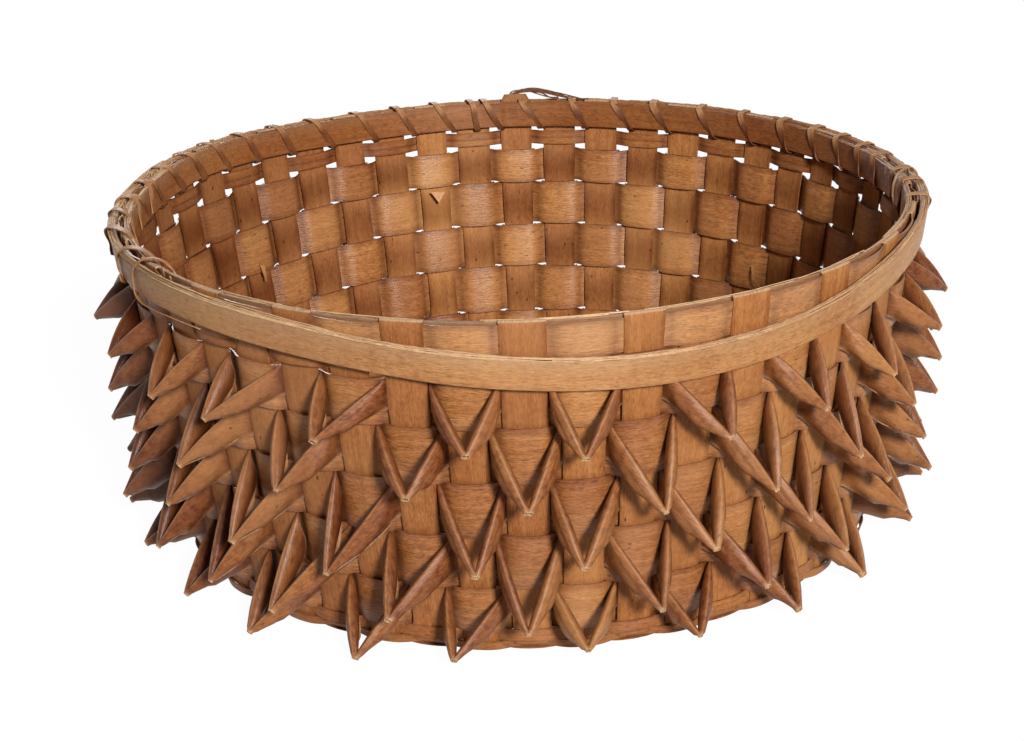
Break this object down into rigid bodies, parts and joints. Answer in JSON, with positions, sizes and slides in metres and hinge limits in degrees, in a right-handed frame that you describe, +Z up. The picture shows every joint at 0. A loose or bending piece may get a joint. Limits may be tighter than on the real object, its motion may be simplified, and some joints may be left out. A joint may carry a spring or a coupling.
{
  "type": "splint basket",
  "caption": "Round, open ash splint basket with a woven wall, rows of curled splint points on the outside and lashed hoops at the rim.",
  "frame": {"origin": "middle of the basket at the height of the floor that it stands on", "axes": "+Z up through the open top, -Y towards the front of the picture, +X to its right"},
  "size_m": [0.3766, 0.3766, 0.1464],
  "materials": {
    "stake_ash": "satin",
    "weaver_ash": "satin",
    "curl_ash": "satin",
    "narrow_ash": "satin",
    "hoop_ash": "satin",
    "liner_ash": "satin",
    "lashing_ash": "satin"
  },
  "bodies": {
    "root": {"stake_splint_01": "stake_ash", "stake_splint_02": "stake_ash", "stake_splint_03": "stake_ash", "stake_splint_04": "stake_ash", "stake_splint_05": "stake_ash", "stake_splint_06": "stake_ash", "stake_splint_07": "stake_ash", "stake_splint_08": "stake_ash", "stake_splint_09": "stake_ash", "stake_splint_10": "stake_ash", "stake_splint_11": "stake_ash", "stake_splint_12": "stake_ash", "base_weaver_1": "narrow_ash", "base_weaver_2": "narrow_ash", "foot_weaver_underside": "narrow_ash", "foot_weaver_turn": "narrow_ash", "wide_weaver_1": "weaver_ash", "wide_weaver_2": "weaver_ash", "wide_weaver_3": "weaver_ash", "wide_weaver_4": "weaver_ash", "wide_weaver_5": "weaver_ash", "curled_overlay_1": "curl_ash", "curled_overlay_2": "curl_ash", "curled_overlay_3": "curl_ash", "curled_overlay_4": "curl_ash", "curled_overlay_5": "curl_ash", "narrow_weaver_1": "narrow_ash", "narrow_weaver_2": "narrow_ash", "top_band": "weaver_ash", "inner_hoop": "hoop_ash", "outer_hoop_liner": "liner_ash", "outer_hoop": "hoop_ash", "rim_lashing": "lashing_ash"}
  },
  "joints": []
}
